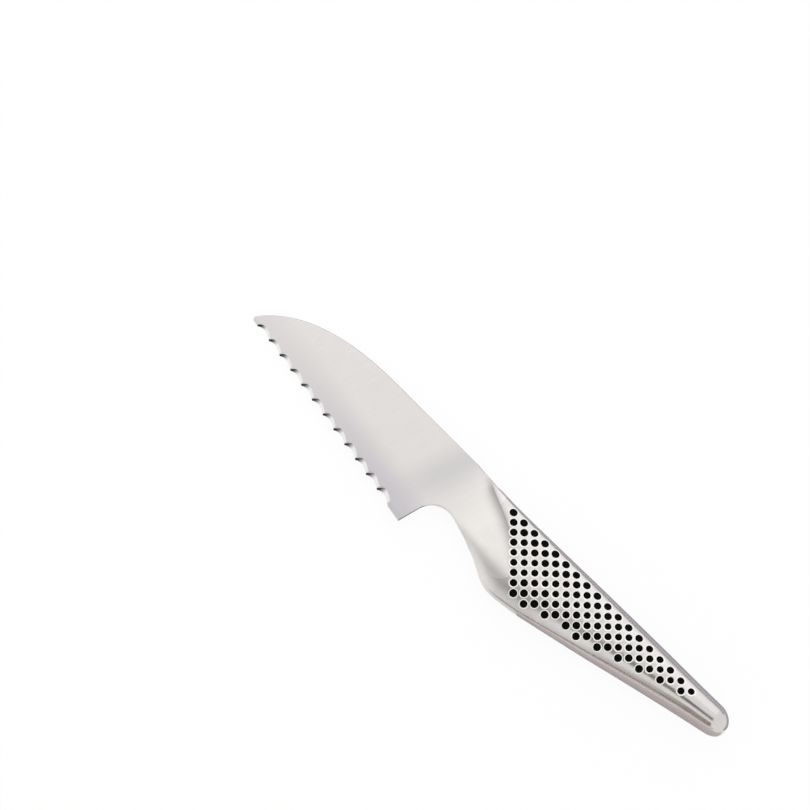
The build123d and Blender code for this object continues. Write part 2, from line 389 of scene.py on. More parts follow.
def skinPoints():
    # rings of points in three runs: finger side of the scoop, the scoop, spine side of it
    lines = skinRings()
    begins, ends, lastScooped = scoopTurns(lines)
    first, middle, last = skin["fingerPoints"], skin["scoopPoints"], skin["spinePoints"]
    order = np.arange(first + middle + last + 1)
    rings, tones, polishAndHighlight = [], [], []
    for ring, (lowX, lowY, highX, highY) in enumerate(zip(*lines)):
        begin, end = begins[ring], ends[ring]
        runs = [
            np.linspace(0, begin, first, endpoint=False),
            np.linspace(begin, end, middle, endpoint=False),
            np.linspace(end, 1, last + 1),
        ]
        share = (1 - np.cos(np.pi * np.concatenate(runs))) / 2
        x = lowX + (highX - lowX) * share
        y = lowY + (highY - lowY) * share
        z = np.minimum(formHeight(x, y), scoopHeight(x, y))
        length = math.hypot(highX - lowX, highY - lowY)
        if ring <= neck["rings"]:
            z = z - roundedOff(np.minimum(share, 1 - share) * length, skin["edgeRound"])
        rings.append(np.stack([x, y, z], 1))
        scooped = (order >= first) & (order < first + middle) & (ring <= lastScooped)
        # painted shade beside the spine-side crease, faded in over the first rings, and the painted shade
        # of the run-out band
        fromCrease = (share - (1 - math.cos(math.pi * end)) / 2) * length
        creaseShade = paintedCreaseShade(fromCrease, scooped) * min(ring / skin["creaseRings"], 1) ** 2
        tones.append(np.maximum(creaseShade * (ring <= lastScooped), paintedRunoutShade(x, y)))
        # the scoop, and the finger-side ridge up to ridgeEnd, take the brighter colour: partly polish,
        # partly painted highlight
        ridge = np.clip((skin["ridgeEnd"] - stationOf(x, y)[0]) / skin["ridgeFade"], 0, 1)
        polishAndHighlight.append(np.where(scooped, 1.0, np.where(order < first, ridge, 0)))
    return np.array(rings), np.array(tones), np.array(polishAndHighlight)


def paintedCreaseShade(fromCrease, scooped):
    # painted shade: darker the closer a point lies to the crease on the spine side, with a weaker band
    # just outside it
    inner = np.clip(1 + fromCrease / skin["spineCrease"], 0, 1) ** 2
    outer = np.clip(1 - fromCrease / skin["outsideCrease"], 0, 1) ** 2
    return np.where(scooped, inner, np.where(fromCrease >= 0, skin["outsideStrength"] * outer, 0))


def paintedRunoutShade(x, y):
    # painted shade in a soft band, fading at its own rate on each side
    station, across = stationOf(x, y)
    places, *rest = np.array(runoutShade).T
    middle, strength, spineSide, fingerSide = (np.interp(station, places, values) for values in rest)
    offset = across - middle
    width = np.where(offset > 0, spineSide, fingerSide)
    return strength * np.exp(-runoutShadeSharpness * (offset / width) ** 2)


def roundedOff(distance, radius):
    # how much a small round takes off near an edge
    near = np.clip(radius - distance, 0, radius)
    return radius - np.sqrt(np.maximum(radius**2 - near**2, 0))


def makePiece(name, points, faces, material, slotName, node=None, sharp=None, tones=None):
    # a smooth piece on the knife's one body, in the place of a CAD node where one is named
    mesh = bpy.data.meshes.new(name)
    mesh.from_pydata([tuple(p) for p in layDown(points)], [], faces)
    mesh.validate()
    mesh.polygons.foreach_set("use_smooth", [True] * len(mesh.polygons))
    if sharp is not None:
        mesh.set_sharp_from_angle(angle=math.radians(sharp))
    for title, values in (tones or {}).items():
        layer = mesh.attributes.new(title, "FLOAT", "POINT")
        layer.data.foreach_set("value", np.asarray(values, np.float32).ravel())
    mesh.update()
    mesh.materials.append(material)
    piece = addObject(name, mesh)
    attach(piece, "root")
    if node:
        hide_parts(node)
    return piece


def addObject(name, data):
    thing = bpy.data.objects.new(name, data)
    bpy.context.scene.collection.objects.link(thing)
    return thing


def tubeFaces(rows, columns, start=0, turned=False):
    # faces round a tube of rings. Turned, they go round the other way
    faces = []
    for r in range(rows - 1):
        for c in range(columns):
            a, b = start + r * columns + c, start + r * columns + (c + 1) % columns
            faces.append((a, b, b + columns, a + columns) if turned else (a, a + columns, b + columns, b))
    return faces


def tubeEnds(rows, columns, turned=False):
    # one face over each end of the tube
    ends = [tuple(range(columns)), tuple(range(rows * columns - 1, (rows - 1) * columns - 1, -1))]
    return [end[::-1] for end in ends] if turned else ends


# Dimples: a square lattice on each side. After fullRows its border turns in towards the butt.
# Each has a flat flange on the skin, a round rim and a conical wall, with enamel over the wall.
dimples = {
    "pitch": 3.34,
    "turn": -36.6,
    "first": (18.7, 31.2),
    "rows": 18,
    "fullRows": 8,
    "borderSlope": 1.85,
    "borderStart": 1.45,
    "flange": 1.64,
    "flangeMiddle": 1.58,
    "flangeHeights": (0.002, 0.003),
    "rim": 1.515,
    "rimRound": (0.02, -0.002),
    "wallSlope": 0.30,
    "wallSpan": (1.44, 0.94),
    "wallRings": 6,
    "sides": 32,
}
# The skin of the shell dips under each dimple, clear of its wall
dip = {
    "flangeLap": 0.06,
    "clearance": 0.05,
    "clearanceRun": 0.12,
    "search": 1.2,
    "deepest": 1.5,
}
# The enamel stands at a level under the rim, which falls by up to the spread in the middle of
# the field, and a little by a wave from dimple to dimple
enamel = {
    "radii": (1.42, 1.3, 1.15, 1.0, 0.8, 0.5, 0.25),
    "level": 0.05,
    "spread": 0.07,
    "hollow": 0.02,
    "fieldMiddle": 0.05,
    "fieldFall": 1.5,
    "waveShare": 0.3,
    "waveTurns": (7.3, 11.9),
}


def dimplePlaces():
    turnBy = math.radians(dimples["turn"])
    along = np.array([math.cos(turnBy), math.sin(turnBy)])
    across = np.array([-along[1], along[0]])
    places = []
    for row in range(dimples["rows"]):
        leftOut = dimples["borderSlope"] * (row - dimples["fullRows"]) - dimples["borderStart"]
        for column in range(max(0, math.ceil(leftOut)), row + 1):
            step = along * row + across * column
            places.append(np.array(dimples["first"]) + dimples["pitch"] * step)
    return np.array(places)


def skinNormal(x, y, reach=0.02):
    slopeX = (formHeight(x + reach, y) - formHeight(x - reach, y)) / (2 * reach)
    slopeY = (formHeight(x, y + reach) - formHeight(x, y - reach)) / (2 * reach)
    normal = np.stack([-slopeX, -slopeY, np.ones_like(slopeX)], -1)
    return normal / np.linalg.norm(normal, axis=-1, keepdims=True)


def enamelDepths():
    # the fill stands a little lower in the middle of the field than at its borders
    places = dimplePlaces()
    station, across = stationOf(places[:, 0], places[:, 1])
    spine, finger, *_ = sectionSizes(station)
    fromMiddle = np.abs(across / np.where(across > 0, spine, finger) - enamel["fieldMiddle"])
    wave = 0.5 + 0.5 * np.sin(places @ enamel["waveTurns"])
    low = np.clip(1 - fromMiddle * enamel["fieldFall"], 0, 1)
    mixed = (1 - enamel["waveShare"]) * low + enamel["waveShare"] * wave
    return enamel["level"] + enamel["spread"] * mixed


def lathedPatches(profile, closed, sunk):
    # discs on the skin: profile is a list of radius and height over the skin, from outside in
    places = dimplePlaces()
    sides = dimples["sides"]
    points, faces = [], []
    turns = np.arange(sides) * 2 * np.pi / sides
    for place, lower in zip(places, sunk):
        middle = np.array([place[0], place[1], float(formHeight(place[0], place[1]))])
        outward = skinNormal(place[0], place[1])
        side = np.cross([0, 1, 0], outward)
        side /= np.linalg.norm(side)
        up = np.cross(outward, side)
        base = len(points)
        for radius, height in profile:
            ring = middle + radius * (np.cos(turns)[:, None] * side + np.sin(turns)[:, None] * up)
            lifted = np.stack([ring[:, 0], ring[:, 1], formHeight(ring[:, 0], ring[:, 1])], 1)
            lifted += (height - lower) * skinNormal(ring[:, 0], ring[:, 1])
            points.extend(lifted)
        faces += tubeFaces(len(profile), sides, base, turned=True)
        if closed:
            points.append(middle + (profile[-1][1] - lower) * outward)
            last = base + (len(profile) - 1) * sides
            for c in range(sides):
                faces.append((last + c, last + (c + 1) % sides, len(points) - 1))
    return np.array(points), faces


def mirrored(points, faces):
    return points * np.array([1, 1, -1]), [face[::-1] for face in faces]


# Effects that several materials share, as node groups
def newGroup(name, inputs, outputs):
    group = bpy.data.node_groups.new(name, "ShaderNodeTree")
    for title, kind, value in inputs:
        socket = group.interface.new_socket(title, in_out="INPUT", socket_type=kind)
        socket.default_value = value
    for title, kind in outputs:
        group.interface.new_socket(title, in_out="OUTPUT", socket_type=kind)
    return group, group.nodes.new("NodeGroupInput"), group.nodes.new("NodeGroupOutput")


def useGroup(tree, group, **values):
    node = tree.nodes.new("ShaderNodeGroup")
    node.node_tree = group
    for title, value in values.items():
        if hasattr(value, "is_output"):
            tree.links.new(value, node.inputs[title])
        else:
            node.inputs[title].default_value = value
    return node


def mathNode(tree, operation, first, second=None):
    node = tree.nodes.new("ShaderNodeMath")
    node.operation = operation
    for socket, value in zip(node.inputs, (first, second)):
        if hasattr(value, "is_output"):
            tree.links.new(value, socket)
        elif value is not None:
            socket.default_value = value
    return node.outputs[0]


def easeNode(tree, value, low, high, atLow, atHigh):
    # a smooth step of a value from one level to another
    node = tree.nodes.new("ShaderNodeMapRange")
    node.interpolation_type = "SMOOTHSTEP"
    tree.links.new(value, node.inputs["Value"])
    for title, number in zip(("From Min", "From Max", "To Min", "To Max"), (low, high, atLow, atHigh)):
        node.inputs[title].default_value = number
    return node.outputs["Result"]


def mixColour(tree, factor, first, second):
    node = tree.nodes.new("ShaderNodeMix")
    node.data_type = "RGBA"
    for socket, value in zip((node.inputs[0], node.inputs[6], node.inputs[7]), (factor, first, second)):
        if hasattr(value, "is_output"):
            tree.links.new(value, socket)
        elif isinstance(value, tuple):
            socket.default_value = (*value, 1)
        else:
            socket.default_value = value
    return node.outputs[2]


# Where a point lies in the knife's own frame, in millimetres
placeGroup, _, placeOut = newGroup(
    "knifePlace", [],
    [("Place", "NodeSocketVector"), ("Along", "NodeSocketFloat"), ("Up", "NodeSocketFloat")],
)
coordinates = placeGroup.nodes.new("ShaderNodeTexCoord")
unlay = placeGroup.nodes.new("ShaderNodeMapping")
unlay.vector_type = "TEXTURE"
unlay.inputs["Location"].default_value = [length / 1000 for length in restPose["shift"]]
unlay.inputs["Rotation"].default_value[0] = math.radians(restPose["roll"])
unlay.inputs["Rotation"].default_value[1] = math.radians(restPose["pitch"])
unlay.inputs["Scale"].default_value = (0.001, 0.001, 0.001)
parts = placeGroup.nodes.new("ShaderNodeSeparateXYZ")
placeGroup.links.new(coordinates.outputs["Object"], unlay.inputs["Vector"])
placeGroup.links.new(unlay.outputs["Vector"], parts.inputs["Vector"])
placeGroup.links.new(unlay.outputs["Vector"], placeOut.inputs["Place"])
placeGroup.links.new(parts.outputs["X"], placeOut.inputs["Along"])
placeGroup.links.new(parts.outputs["Y"], placeOut.inputs["Up"])

# Brushing marks: noise drawn out along one direction
grainGroup, grainIn, grainOut = newGroup(
    "brushedGrain",
    [
        ("Place", "NodeSocketVector", (0, 0, 0)), ("Turn", "NodeSocketFloat", 0.0),
        ("Across", "NodeSocketFloat", 3.0), ("Along", "NodeSocketFloat", 0.1),
    ],
    [("Mark", "NodeSocketFloat"), ("Height", "NodeSocketFloat")],
)
turned = grainGroup.nodes.new("ShaderNodeVectorRotate")
turned.rotation_type = "Z_AXIS"
grainGroup.links.new(grainIn.outputs["Place"], turned.inputs["Vector"])
grainGroup.links.new(grainIn.outputs["Turn"], turned.inputs["Angle"])
finenesses = grainGroup.nodes.new("ShaderNodeCombineXYZ")
grainGroup.links.new(grainIn.outputs["Along"], finenesses.inputs["X"])
grainGroup.links.new(grainIn.outputs["Across"], finenesses.inputs["Y"])
grainGroup.links.new(grainIn.outputs["Along"], finenesses.inputs["Z"])
drawn = grainGroup.nodes.new("ShaderNodeVectorMath")
drawn.operation = "MULTIPLY"
grainGroup.links.new(turned.outputs["Vector"], drawn.inputs[0])
grainGroup.links.new(finenesses.outputs["Vector"], drawn.inputs[1])
marks = grainGroup.nodes.new("ShaderNodeTexNoise")
marks.inputs["Scale"].default_value = 1.0
marks.inputs["Detail"].default_value = 2.5
marks.inputs["Roughness"].default_value = 0.6
grainGroup.links.new(drawn.outputs["Vector"], marks.inputs["Vector"])
mark = easeNode(grainGroup, marks.outputs["Fac"], 0.3, 0.7, 0.0, 1.0)
grainGroup.links.new(mark, grainOut.inputs["Mark"])
grainGroup.links.new(marks.outputs["Fac"], grainOut.inputs["Height"])

# Broad soft patches
patchGroup, patchIn, patchOut = newGroup(
    "softPatches",
    [("Place", "NodeSocketVector", (0, 0, 0)), ("Scale", "NodeSocketFloat", 0.1)],
    [("Patch", "NodeSocketFloat")],
)
patches = patchGroup.nodes.new("ShaderNodeTexNoise")
patches.inputs["Detail"].default_value = 2.0
patchGroup.links.new(patchIn.outputs["Place"], patches.inputs["Vector"])
patchGroup.links.new(patchIn.outputs["Scale"], patches.inputs["Scale"])
softened = easeNode(patchGroup, patches.outputs["Fac"], 0.3, 0.7, 0.0, 1.0)
patchGroup.links.new(softened, patchOut.inputs["Patch"])


def newMaterial(name):
    material = bpy.data.materials.new(name)
    material.use_nodes = True
    tree = material.node_tree
    return material, tree, tree.nodes["Principled BSDF"]


def addBump(tree, shader, height, strength, distance):
    bump = tree.nodes.new("ShaderNodeBump")
    bump.inputs["Strength"].default_value = strength
    bump.inputs["Distance"].default_value = distance
    tree.links.new(height, bump.inputs["Height"])
    tree.links.new(bump.outputs["Normal"], shader.inputs["Normal"])


def vertexTone(tree, title):
    node = tree.nodes.new("ShaderNodeAttribute")
    node.attribute_name = title
    return node.outputs["Fac"]


def brushedSteel(name, look, zones=None):
    # zones gives the plain colour over the piece, and how far the grain shows on it. The tones are
    # colours that the vertex tones of the same names bring in: painted shade and painted highlight.
    material, tree, shader = newMaterial(name)
    place = useGroup(tree, placeGroup)
    grain = useGroup(
        tree, grainGroup, Place=place.outputs["Place"], Turn=math.radians(look["grainTurn"]),
        Across=look["grainAcross"], Along=look["grainAlong"],
    )
    patch = useGroup(tree, patchGroup, Place=place.outputs["Place"], Scale=look["patchScale"])
    plain, fade = look["colour"], 1.0
    if zones:
        plain, fade = zones(tree, place)
    darker = mathNode(tree, "MULTIPLY", grain.outputs["Mark"], look["grainDepth"])
    darker = mathNode(tree, "MULTIPLY", darker, fade)
    cloud = mathNode(tree, "MULTIPLY", patch.outputs["Patch"], look["patchDepth"])
    factor = mathNode(tree, "ADD", darker, cloud)
    colour = mixColour(tree, factor, plain, look["shade"])
    for title, tint in look.get("tones", {}).items():
        colour = mixColour(tree, vertexTone(tree, title), colour, tint)
    tree.links.new(colour, shader.inputs["Base Color"])
    rough = easeNode(tree, patch.outputs["Patch"], 0.0, 1.0, *look["roughness"])
    if "scoopRoughness" in look:
        facet = vertexTone(tree, "facet")
        outside = mathNode(tree, "MULTIPLY", rough, mathNode(tree, "SUBTRACT", 1.0, facet))
        scooped = mathNode(tree, "MULTIPLY", facet, look["scoopRoughness"])
        rough = mathNode(tree, "ADD", outside, scooped)
    tree.links.new(rough, shader.inputs["Roughness"])
    shader.inputs["Metallic"].default_value = 1.0
    addBump(tree, shader, grain.outputs["Height"], look["bump"], look["grainHeight"])
    return material


# Blade and neck: satin ground, with painted reflection that is cooler near the edge and in a band before
# the neck, and a brighter neck, partly polish and partly painted highlight. Heights run up from the edge,
# and places along it from the heel; band and neck begin at places that lean with the slant.
groundLook = {
    "colour": (0.745, 0.715, 0.695),
    "edgeColour": (0.56, 0.535, 0.575),
    "edgeHeights": (2.0, 13.0),
    "edgePlaces": (-75.0, -8.0),
    "edgeAtTip": 0.35,
    "slant": 0.126,
    "bandColour": (0.575, 0.56, 0.578),
    "bandMiddle": -7.0,
    "bandReach": 10.0,
    "bandStrength": 0.75,
    "bandHeights": (8.0, 20.0),
    "bandLow": 0.65,
    "neckColour": (0.815, 0.785, 0.76),
    "neckPlaces": (0.0, 15.0),
    "neckPolish": 0.75,
    # tones: painted shade beside the crease, on the hooks and at the front of the choil, and a painted
    # highlight in the scallops
    "tones": {
        "crease": (0.36, 0.345, 0.335),
        "scallop": (0.86, 0.84, 0.835),
        "hook": (0.04, 0.036, 0.034),
    },
    "shade": (0.60, 0.57, 0.55),
    "grainTurn": 90.0,
    "grainAcross": 2.6,
    "grainAlong": 0.12,
    "grainDepth": 0.20,
    "patchScale": 0.04,
    "patchDepth": 0.06,
    "roughness": (0.27, 0.30),
    "bump": 0.04,
    "grainHeight": 0.00002,
}


def fadedBy(tree, share, most):
    # how far the grain still shows where a share of the piece is polished
    return mathNode(tree, "SUBTRACT", 1.0, mathNode(tree, "MULTIPLY", share, most))


def groundZones(tree, place):
    look = groundLook
    along, up = place.outputs["Along"], place.outputs["Up"]
    nearEdge = easeNode(tree, up, *look["edgeHeights"], 1.0, 0.0)
    nearHeel = easeNode(tree, along, *look["edgePlaces"], look["edgeAtTip"], 1.0)
    edgeReflection = mathNode(tree, "MULTIPLY", nearEdge, nearHeel)
    colour = mixColour(tree, edgeReflection, look["colour"], look["edgeColour"])
    leaning = mathNode(tree, "SUBTRACT", along, mathNode(tree, "MULTIPLY", up, look["slant"]))
    offBand = mathNode(tree, "ABSOLUTE", mathNode(tree, "SUBTRACT", leaning, look["bandMiddle"]))
    band = easeNode(tree, offBand, 0.0, look["bandReach"], look["bandStrength"], 0.0)
    highUp = easeNode(tree, up, *look["bandHeights"], look["bandLow"], 1.0)
    band = mathNode(tree, "MULTIPLY", band, highUp)
    colour = mixColour(tree, band, colour, look["bandColour"])
    onNeck = easeNode(tree, leaning, *look["neckPlaces"], 0.0, 1.0)
    return mixColour(tree, onNeck, colour, look["neckColour"]), fadedBy(tree, onNeck, look["neckPolish"])


steelGround = brushedSteel("steelGround", groundLook, groundZones)

# Handle: fine satin brushing along it, and the scoop that runs on from the neck, as bright, partly polish
# and partly painted highlight; the crease tone is painted shade
handleLook = {
    "colour": (0.685, 0.66, 0.64),
    "scoopColour": (0.815, 0.785, 0.76),
    "shade": (0.55, 0.525, 0.505),
    "grainTurn": -handle["angle"],
    "grainAcross": 1.9,
    "grainAlong": 0.35,
    "grainDepth": 0.26,
    "patchScale": 0.16,
    "patchDepth": 0.14,
    "roughness": (0.17, 0.20),
    "scoopRoughness": 0.285,
    "scoopPolish": 0.7,
    "bump": 0.004,
    "grainHeight": 0.00002,
    "tones": {"crease": (0.36, 0.345, 0.335)},
}


def handleZones(tree, place):
    facet = vertexTone(tree, "facet")
    colour = mixColour(tree, facet, handleLook["colour"], handleLook["scoopColour"])
    return colour, fadedBy(tree, facet, handleLook["scoopPolish"])


steelHandle = brushedSteel("steelHandle", handleLook, handleZones)

# Rims and walls of the dimples: bare steel, brighter than the handle, partly bare metal and partly
# painted highlight
rimHighlightLook = dict(handleLook)
rimHighlightLook.update(colour=(0.90, 0.88, 0.86), shade=(0.78, 0.75, 0.73), grainDepth=0.3, roughness=(0.3, 0.4))
del rimHighlightLook["scoopRoughness"], rimHighlightLook["tones"]
steelRimHighlight = brushedSteel("steelRimHighlight", rimHighlightLook)

# Enamel: nearly black, with a faint unevenness
enamelLook = {
    "colour": (0.0004, 0.0005, 0.0004),
    "light": (0.003, 0.004, 0.003),
    "scale": 0.9,
    "roughness": (0.3, 0.5),
    "specular": 0.03,
    "bump": 0.25,
    "bumpHeight": 0.00005,
}


def enamelMaterial(look):
    material, tree, shader = newMaterial("enamelBlack")
    place = useGroup(tree, placeGroup).outputs["Place"]
    patch = useGroup(tree, patchGroup, Place=place, Scale=look["scale"]).outputs["Patch"]
    tree.links.new(mixColour(tree, patch, look["colour"], look["light"]), shader.inputs["Base Color"])
    tree.links.new(easeNode(tree, patch, 0.0, 1.0, *look["roughness"]), shader.inputs["Roughness"])
    shader.inputs["Specular IOR Level"].default_value = look["specular"]
    addBump(tree, shader, patch, look["bump"], look["bumpHeight"])
    return material


enamelBlack = enamelMaterial(enamelLook)

# Sand: pale grains of several tones
sandLook = {
    "pale": (0.70, 0.62, 0.47),
    "dark": (0.42, 0.34, 0.24),
    "grainSize": 0.5,
    "roughness": 0.9,
    "bump": 0.8,
    "bumpHeight": 0.0002,
}


def sandMaterial(look):
    material, tree, shader = newMaterial("sandGrains")
    cells = tree.nodes.new("ShaderNodeTexVoronoi")
    cells.inputs["Scale"].default_value = 1 / look["grainSize"]
    tree.links.new(useGroup(tree, placeGroup).outputs["Place"], cells.inputs["Vector"])
    tones = tree.nodes.new("ShaderNodeSeparateColor")
    tree.links.new(cells.outputs["Color"], tones.inputs["Color"])
    colour = mixColour(tree, tones.outputs["Red"], look["pale"], look["dark"])
    tree.links.new(colour, shader.inputs["Base Color"])
    shader.inputs["Roughness"].default_value = look["roughness"]
    addBump(tree, shader, cells.outputs["Distance"], look["bump"], look["bumpHeight"])
    return material


sand = nodes["sand_ballast"]
sand.data.materials.clear()
sand.data.materials.append(sandMaterial(sandLook))
print("materials made")

rings, creaseShading, polishAndHighlight = skinPoints()
ringCount, columnCount = rings.shape[:2]
firstShell = neck["rings"] + 2
print("skin rings", ringCount, columnCount)

# Neck and the two butt welds: left and right skins joined by flanks, closed at both ends
for name, node, slotName, material, fromRing, toRing in (
    ("neckWeldSkin", "neck_weld", "neck_steel", steelGround, 0, neck["weldRings"] + 1),
    ("neckSkin", "neck", "neck_steel", steelGround, neck["weldRings"], neck["rings"] + 1),
    ("handleWeldSkin", "handle_weld", "handle_steel", steelHandle, neck["rings"], firstShell + 1),
):
    left = rings[fromRing:toRing]
    both = np.concatenate([left, left[:, ::-1] * np.array([1, 1, -1])], 1)
    size = both.shape[:2]
    tones = {
        title: np.concatenate([tone[fromRing:toRing], tone[fromRing:toRing, ::-1]], 1)
        for title, tone in (("crease", creaseShading), ("facet", polishAndHighlight))
    }
    faces = tubeFaces(*size) + tubeEnds(*size)
    makePiece(name, both.reshape(-1, 3), faces, material, slotName, node, skin["sharpAngle"], tones)


def keepShading(mesh, moved):
    # the skin dips under each dimple, but keeps the shading of the smooth form
    normals = np.empty(len(mesh.loops) * 3, np.float32)
    mesh.corner_normals.foreach_get("vector", normals)
    mesh.vertices.foreach_set("co", np.asarray(layDown(moved), np.float32).ravel())
    mesh.update()
    mesh.normals_split_custom_set(normals.reshape(-1, 3).tolist())


def shellFaces(rows, feet):
    # the skin, the flat face towards the other shell, and the butt's end down to two feet
    faces = []
    for r in range(rows - 1):
        for c in range(columnCount - 1):
            a = r * columnCount + c
            faces.append((a + columnCount, a + columnCount + 1, a + 1, a))
    last = (rows - 1) * columnCount
    faces.append(tuple(range(last + columnCount - 1, last - 1, -1)) + feet)
    for a in range(0, last, columnCount):
        b = a + columnCount - 1
        faces.append((b, b + columnCount, a + columnCount, a))
    return faces


def dippedUnder(points):
    # the skin lowered out of the way of the dimples' flanges, rims and walls
    dipped = points.copy()
    edge = dimples["flange"] - dip["flangeLap"]
    for x, y in dimplePlaces():
        close = np.hypot(points[:, 0] - x, points[:, 1] - y) < edge * dip["search"]
        outward = skinNormal(x, y)
        offset = points[close] - np.array([x, y, float(formHeight(x, y))])
        above = offset @ outward
        radius = np.linalg.norm(offset - above[:, None] * outward, axis=1)
        inside = (radius < edge) & (np.abs(above) < dip["deepest"])
        wall = dimples["wallSlope"] * np.maximum(dimples["rim"] - radius, 0)
        depth = wall + dip["clearance"] * np.minimum((edge - radius) / dip["clearanceRun"], 1)
        dipped[np.flatnonzero(close)[inside]] -= depth[inside, None] * outward
    return dipped


def handleShell(name, node, side):
    left = rings[firstShell:]
    feet = left[-1][[0, -1]] * np.array([1, 1, 0])
    points = np.concatenate([left.reshape(-1, 3), feet])
    dipped = dippedUnder(points)
    faces = shellFaces(len(left), (len(points) - 2, len(points) - 1))
    if side < 0:
        points, faces = mirrored(points, faces)
        dipped = dipped * np.array([1, 1, -1])
    tones = {
        title: np.append(tone[firstShell:], np.zeros(len(feet)))
        for title, tone in (("crease", creaseShading), ("facet", polishAndHighlight))
    }
    piece = makePiece(name, points, faces, steelHandle, "handle_steel", node, skin["sharpAngle"], tones)
    keepShading(piece.data, dipped)


handleShell("handleShellLeft", "handle_shell_left", 1)
handleShell("handleShellRight", "handle_shell_right", -1)

rim = dimples["rim"]
rimProfile = list(zip((dimples["flange"], dimples["flangeMiddle"]), dimples["flangeHeights"]))
rimProfile.append((rim + dimples["rimRound"][0], dimples["rimRound"][1]))
for radius in np.linspace(*dimples["wallSpan"], dimples["wallRings"]):
    rimProfile.append((radius, -dimples["wallSlope"] * (rim - radius)))
enamelProfile = [
    (radius, -enamel["hollow"] * (1 - (radius / enamel["radii"][0]) ** 2)) for radius in enamel["radii"]
]
rimPatches = lathedPatches(rimProfile, False, np.zeros(len(dimplePlaces())))
enamelPatches = lathedPatches(enamelProfile, True, enamelDepths())
for side in ("Left", "Right"):
    if side == "Right":
        rimPatches = mirrored(*rimPatches)
        enamelPatches = mirrored(*enamelPatches)
    enamelNode = "dimple_enamel_" + side.lower()
    makePiece("dimpleRims" + side, *rimPatches, steelRimHighlight, "handle_steel")
    makePiece("dimpleEnamel" + side, *enamelPatches, enamelBlack, "black_enamel", enamelNode)


def seamStrip(name, node, column):
    # seam weld: a strip between the two shells, on one side
    edge = rings[firstShell:, column, :2]
    inner = rings[firstShell:, columnCount // 2, :2] * skin["seamDepth"] + edge * (1 - skin["seamDepth"])
    corners = []
    for plan, level in ((edge, 1), (edge, -1), (inner, -1), (inner, 1)):
        corners.append(np.column_stack([plan, np.full(len(plan), level * handle["seamHalf"])]))
    points = np.stack(corners, 1)
    size = points.shape[:2]
    faces = tubeFaces(*size, turned=True) + tubeEnds(*size, turned=True)
    makePiece(name, points.reshape(-1, 3), faces, steelHandle, "handle_steel", node, skin["seamSharp"])


seamStrip("bellySeam", "belly_seam_weld", 0)
seamStrip("spineSeam", "spine_seam_weld", columnCount - 1)
print("neck, handle, dimples and seams made")

# The blade: flat ground faces, with scallops ground into the left one. The nose and the tip's
# arc are points of its outline, the first scallop is the one nearest the heel, and steps are
# shares of the pitch of the scallops.
blade = {
    "length": 80.0,
    "edgeLevel": -0.25,
    "spineHeight": 31.8,
    "spineRise": 0.165,
    "spineBend": -36.0,
    "nose": [(-36.0, 25.86), (-48.7, 23.15), (-63.8, 17.2), (-73.8, 9.75), (-79.75, 1.4)],
    "tipArc": [(-79.75, 1.4), (-79.55, 0.3), (-78.5, -0.25)],
    "bevelAngle": 26.0,
    "scallops": 12,
    "scallopPitch": 5.87,
    "firstScallop": -9.6,
    "scallopRise": 1.05,
    "wheelRadius": 6.8,
    "wheelSkew": 30.0,
    "wheelShift": (-1.69, -0.425),
    "spineRound": 0.5,
    "thinnest": 0.004,
    "sharpAngle": 9.0,
}
# Painted shade: dark hooks at the start of each scallop, as high as they have risen from the cusp, and
# the dark front of the choil
bladeShade = {
    "cutSoftness": 0.03,
    "hookEnd": 0.02,
    "hookFade": 0.42,
    "hookRise": (0.85, 1.3),
    "hookRiseFade": 0.25,
    "choil": 0.65,
    "choilWidth": 0.4,
    "choilTop": 10.0,
}
# How closely the lines across the blade stand, and the points on each line. No two come
# closer than least, and firstShare is where the crowded runs begin.
bladeMesh = {
    "least": 0.02,
    "firstShare": 0.02,
    "linePitch": 0.2,
    "cuspGap": 0.06,
    "tipSpan": 1.2,
    "tipGap": 0.05,
    "tipLines": 26,
    "heelLines": 40,
    "edgeSearch": (-0.6, 3.0),
    "bevelSearch": 4.0,
    "groundPoints": 16,
    "hookPoints": 30,
    "hookReach": 3.4,
    "facePoints": 40,
}


def throughPoints(points, firstTangent, lastTangent, pointsEach=60):
    # a smooth curve through the points that starts and ends in the given directions
    points = np.array(points, float)
    knots = np.concatenate([[0], np.cumsum(np.linalg.norm(np.diff(points, axis=0), axis=1))])
    gap = np.diff(knots)
    count = len(points)
    matrix = np.eye(count)
    right = np.zeros((count, 2))
    right[0] = np.array(firstTangent) / np.linalg.norm(firstTangent)
    right[-1] = np.array(lastTangent) / np.linalg.norm(lastTangent)
    for k in range(1, count - 1):
        matrix[k, k - 1] = gap[k]
        matrix[k, k] = 2 * (gap[k - 1] + gap[k])
        matrix[k, k + 1] = gap[k - 1]
        right[k] = 3 * (
            gap[k] * (points[k] - points[k - 1]) / gap[k - 1]
            + gap[k - 1] * (points[k + 1] - points[k]) / gap[k]
        )
    slopes = np.linalg.solve(matrix, right)
    out = []
    for k in range(count - 1):
        u = np.linspace(0, 1, pointsEach, endpoint=k == count - 2)[:, None]
        out.append(hermite(u, points[k], points[k + 1], gap[k] * slopes[k], gap[k] * slopes[k + 1]))
    return np.concatenate(out)


def circleThrough(a, b, c):
    # middle and radius of the circle through three points
    a, b, c = (np.array(p, float) for p in (a, b, c))
    lhs = 2 * np.array([b - a, c - a])
    rhs = np.array([b @ b - a @ a, c @ c - a @ a])
    middle = np.linalg.solve(lhs, rhs)
    return middle, np.linalg.norm(a - middle)


nose = throughPoints(blade["nose"], (-1, -blade["spineRise"]), (-0.5, -1))
tipMiddle, tipRadius = circleThrough(*blade["tipArc"])
firstLine = tipMiddle[0] - tipRadius
heelRun = neck["choilCentre"][0] - neck["choilRadius"]
heelRise = neck["choilCentre"][1] - blade["edgeLevel"]


